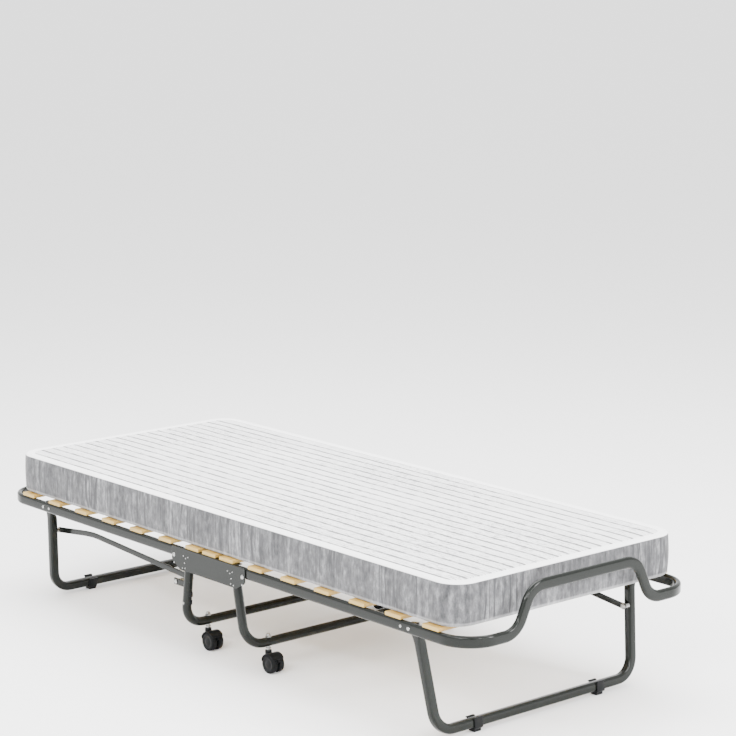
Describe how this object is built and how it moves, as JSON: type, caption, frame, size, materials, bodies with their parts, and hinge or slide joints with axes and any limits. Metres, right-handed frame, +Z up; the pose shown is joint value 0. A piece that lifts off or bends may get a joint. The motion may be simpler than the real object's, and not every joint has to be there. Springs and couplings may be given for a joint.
{
  "type": "folding cot",
  "caption": "Wheeled folding guest cot: hinged tubular halves with swing-down end legs, wooden slats and a mattress.",
  "frame": {"origin": "on the floor under the middle of the bed, bounding box bottom centre", "axes": "+X from the foot end to the head end, +Y from the near side to the far side, +Z up"},
  "size_m": [2, 0.8128, 0.422],
  "materials": {
    "paint": "gloss",
    "steel": "polished",
    "wood": "satin",
    "plastic": "satin",
    "mattress": "matte",
    "webbing": "matte"
  },
  "bodies": {
    "chassis": {"hinge_plate_near": "paint", "hinge_plate_far": "paint", "centre_leg_foot": "paint", "centre_leg_head": "paint", "slat_07": "wood", "slat_08": "wood", "slat_09": "wood", "mattress_centre_foot": "mattress", "mattress_centre_head": "mattress", "link_pin_foot": "steel", "link_pin_head": "steel", "fold_pin_foot_near": "steel", "fold_pin_foot_far": "steel", "fold_pin_head_near": "steel", "fold_pin_head_far": "steel", "caster_nut_foot_near": "steel", "caster_nut_foot_far": "steel", "caster_nut_head_near": "steel", "caster_nut_head_far": "steel"},
    "foot_half": {"frame_foot": "paint", "mattress_foot": "mattress", "slat_01": "wood", "slat_02": "wood", "slat_03": "wood", "slat_04": "wood", "slat_05": "wood", "slat_06": "wood", "leg_pin_foot_near": "steel", "leg_pin_foot_far": "steel", "closing_strap": "webbing"},
    "foot_leg": {"end_leg_foot": "paint", "glide_foot_near": "plastic", "glide_foot_far": "plastic"},
    "foot_link": {"link_foot": "paint"},
    "head_half": {"frame_head": "paint", "mattress_head": "mattress", "slat_10": "wood", "slat_11": "wood", "slat_12": "wood", "slat_13": "wood", "slat_14": "wood", "slat_15": "wood", "leg_pin_head_near": "steel", "leg_pin_head_far": "steel"},
    "head_leg": {"end_leg_head": "paint", "glide_head_near": "plastic", "glide_head_far": "plastic"},
    "head_link": {"link_head": "paint"},
    "caster_foot_near": {"caster_foot_near": "plastic"},
    "wheels_foot_near": {"wheel_foot_near_a": "plastic", "wheel_foot_near_b": "plastic"},
    "caster_foot_far": {"caster_foot_far": "plastic"},
    "wheels_foot_far": {"wheel_foot_far_a": "plastic", "wheel_foot_far_b": "plastic"},
    "caster_head_near": {"caster_head_near": "plastic"},
    "wheels_head_near": {"wheel_head_near_a": "plastic", "wheel_head_near_b": "plastic"},
    "caster_head_far": {"caster_head_far": "plastic"},
    "wheels_head_far": {"wheel_head_far_a": "plastic", "wheel_head_far_b": "plastic"}
  },
  "joints": [
    {"name": "foot_fold", "type": "hinge", "parent": "chassis", "child": "foot_half", "pos_m": [-0.15, 0, 0.278], "axis": [0, 1, 0], "range_deg": [0, 90], "deforming": ["mattress_centre_foot"]},
    {"name": "foot_leg_fold", "type": "hinge", "parent": "foot_half", "child": "foot_leg", "pos_m": [-0.794, 0, 0.287], "axis": [0, -1, 0], "range_deg": [0, 90]},
    {"name": "foot_link_fold", "type": "hinge", "parent": "chassis", "child": "foot_link", "pos_m": [-0.166, 0, 0.196], "axis": [0, 1, 0], "range_deg": [0, 90]},
    {"name": "head_fold", "type": "hinge", "parent": "chassis", "child": "head_half", "pos_m": [0.15, 0, 0.278], "axis": [0, -1, 0], "range_deg": [0, 90], "deforming": ["mattress_centre_head"]},
    {"name": "head_leg_fold", "type": "hinge", "parent": "head_half", "child": "head_leg", "pos_m": [0.794, 0, 0.287], "axis": [0, 1, 0], "range_deg": [0, 90]},
    {"name": "head_link_fold", "type": "hinge", "parent": "chassis", "child": "head_link", "pos_m": [0.166, 0, 0.196], "axis": [0, -1, 0], "range_deg": [0, 90]},
    {"name": "caster_swivel_foot_near", "type": "hinge", "parent": "chassis", "child": "caster_foot_near", "pos_m": [-0.13228, -0.305, 0.05], "axis": [0, 0, 1], "continuous": true},
    {"name": "wheel_roll_foot_near", "type": "hinge", "parent": "caster_foot_near", "child": "wheels_foot_near", "pos_m": [-0.11228, -0.305, 0.025], "axis": [0, 1, 0], "continuous": true},
    {"name": "caster_swivel_foot_far", "type": "hinge", "parent": "chassis", "child": "caster_foot_far", "pos_m": [-0.13228, 0.305, 0.05], "axis": [0, 0, 1], "continuous": true},
    {"name": "wheel_roll_foot_far", "type": "hinge", "parent": "caster_foot_far", "child": "wheels_foot_far", "pos_m": [-0.11228, 0.305, 0.025], "axis": [0, 1, 0], "continuous": true},
    {"name": "caster_swivel_head_near", "type": "hinge", "parent": "chassis", "child": "caster_head_near", "pos_m": [0.13228, -0.305, 0.05], "axis": [0, 0, 1], "continuous": true},
    {"name": "wheel_roll_head_near", "type": "hinge", "parent": "caster_head_near", "child": "wheels_head_near", "pos_m": [0.15228, -0.305, 0.025], "axis": [0, 1, 0], "continuous": true},
    {"name": "caster_swivel_head_far", "type": "hinge", "parent": "chassis", "child": "caster_head_far", "pos_m": [0.13228, 0.305, 0.05], "axis": [0, 0, 1], "continuous": true},
    {"name": "wheel_roll_head_far", "type": "hinge", "parent": "caster_head_far", "child": "wheels_head_far", "pos_m": [0.15228, 0.305, 0.025], "axis": [0, 1, 0], "continuous": true}
  ],
  "couplings": [
    {"joint": "foot_leg_fold", "follows": "foot_fold", "ratio": 1},
    {"joint": "foot_link_fold", "follows": "foot_fold", "ratio": 1},
    {"joint": "head_leg_fold", "follows": "head_fold", "ratio": 1},
    {"joint": "head_link_fold", "follows": "head_fold", "ratio": 1}
  ]
}
